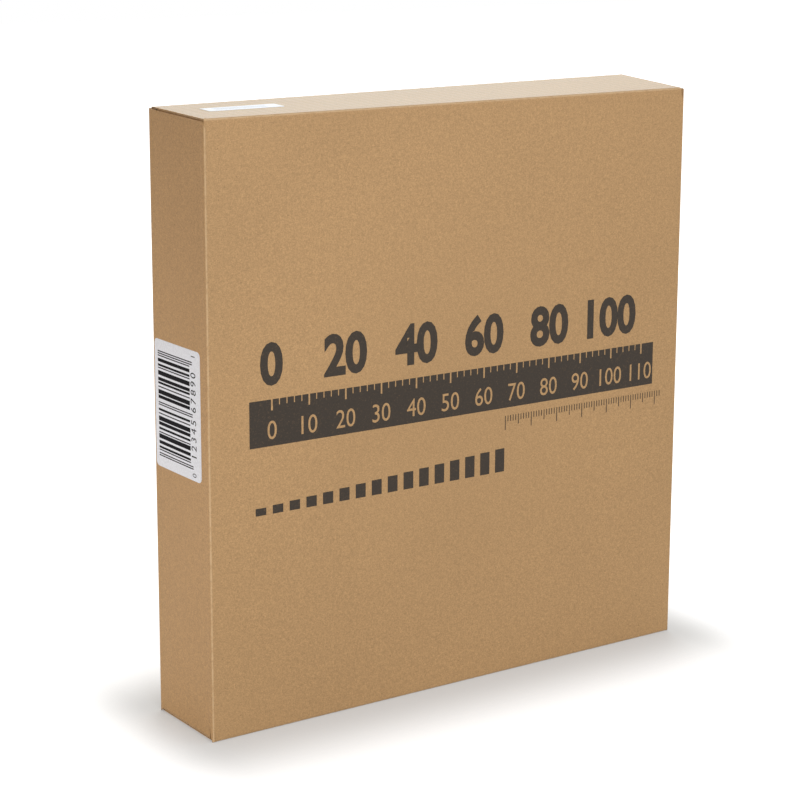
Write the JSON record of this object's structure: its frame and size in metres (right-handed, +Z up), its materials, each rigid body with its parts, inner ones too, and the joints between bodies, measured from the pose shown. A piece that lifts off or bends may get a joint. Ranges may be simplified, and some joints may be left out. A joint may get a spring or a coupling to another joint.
{
  "type": "boxed floor scale",
  "caption": "Digital floor scale packed on edge in its tuck-top corrugated carton, with hinged lid, folding flaps, moulded pulp end caps and a booklet.",
  "frame": {"origin": "under the middle of the carton, on the face it stands on", "axes": "+X to the right along the printed front, +Y from the front to the back, +Z up"},
  "size_m": [0.3502, 0.064, 0.3622],
  "materials": {
    "kraft_board": "unbleached kraft liner, matt, faint flute lines",
    "label_paper": "semi-gloss white label stock",
    "moulded_pulp": "grey moulded pulp, rough",
    "booklet_paper": "uncoated white paper",
    "platform_paint": "white powder coat, fine texture",
    "mat_rubber": "ribbed matt rubber",
    "foot_rubber": "matt black rubber",
    "tray_plastic": "light grey moulded plastic, fine texture",
    "dark_plastic": "dark grey moulded plastic",
    "cell_steel": "nickel-plated steel",
    "clear_lens": "clear acrylic",
    "lcd_glass": "grey-green liquid crystal display",
    "circuit_green": "green solder mask",
    "battery_jacket": "plain printed steel jacket",
    "wire_jacket": "red wire insulation"
  },
  "bodies": {
    "carton": {"carton_sleeve": "kraft_board", "bottom_front_flap": "kraft_board", "bottom_back_flap": "kraft_board", "bottom_dust_flap_left": "kraft_board", "bottom_dust_flap_right": "kraft_board", "side_label": "label_paper", "packing_cap_left": "moulded_pulp", "packing_cap_right": "moulded_pulp", "instruction_booklet": "booklet_paper", "platform_shell": "platform_paint", "platform_mat": "mat_rubber", "base_tray": "tray_plastic", "display_bezel": "dark_plastic", "display_lens": "clear_lens", "lcd_panel": "lcd_glass", "circuit_board": "circuit_green", "controller_chip": "dark_plastic", "unit_switch": "dark_plastic", "battery_contact_left": "cell_steel", "battery_contact_right": "cell_steel", "battery_1": "battery_jacket", "battery_2": "battery_jacket", "battery_3": "battery_jacket", "battery_4": "battery_jacket", "foot_1": "foot_rubber", "foot_2": "foot_rubber", "foot_3": "foot_rubber", "foot_4": "foot_rubber", "load_cell_1": "cell_steel", "load_cell_2": "cell_steel", "load_cell_3": "cell_steel", "load_cell_4": "cell_steel", "load_cell_wire_1": "wire_jacket", "load_cell_wire_2": "wire_jacket", "load_cell_wire_3": "wire_jacket", "load_cell_wire_4": "wire_jacket", "housing_screw_1": "cell_steel", "housing_screw_2": "cell_steel", "housing_screw_3": "cell_steel", "housing_screw_4": "cell_steel"},
    "lid": {"lid_panel": "kraft_board", "top_label": "label_paper"},
    "tuck": {"lid_tuck_flap": "kraft_board"},
    "dust_left": {"top_dust_flap_left": "kraft_board"},
    "dust_right": {"top_dust_flap_right": "kraft_board"},
    "battery_cover": {"battery_door": "tray_plastic"},
    "unit_key": {"unit_button": "dark_plastic"}
  },
  "joints": [
    {"name": "lid_fold", "type": "hinge", "parent": "carton", "child": "lid", "pos_m": [0, -0.032, 0.362], "axis": [1, 0, 0], "range_deg": [0, 175]},
    {"name": "tuck_fold", "type": "hinge", "parent": "lid", "child": "tuck", "pos_m": [0, 0.026, 0.362], "axis": [1, 0, 0], "range_deg": [0, 43.75]},
    {"name": "dust_left_fold", "type": "hinge", "parent": "carton", "child": "dust_left", "pos_m": [-0.175, 0, 0.3587], "axis": [0, -1, 0], "range_deg": [0, 105]},
    {"name": "dust_right_fold", "type": "hinge", "parent": "carton", "child": "dust_right", "pos_m": [0.175, 0, 0.3587], "axis": [0, 1, 0], "range_deg": [0, 105]},
    {"name": "battery_door_slide", "type": "slide", "parent": "carton", "child": "battery_cover", "axis": [0, 0, 1], "range_m": [0, 0.008]},
    {"name": "unit_button_press", "type": "slide", "parent": "carton", "child": "unit_key", "axis": [0, -1, 0], "range_m": [0, 0.0012], "stiffness_N_per_m": 400}
  ],
  "couplings": [
    {"joint": "tuck_fold", "follows": "lid_fold", "ratio": 0.25},
    {"joint": "dust_left_fold", "follows": "lid_fold", "ratio": 0.6},
    {"joint": "dust_right_fold", "follows": "lid_fold", "ratio": 0.6}
  ]
}
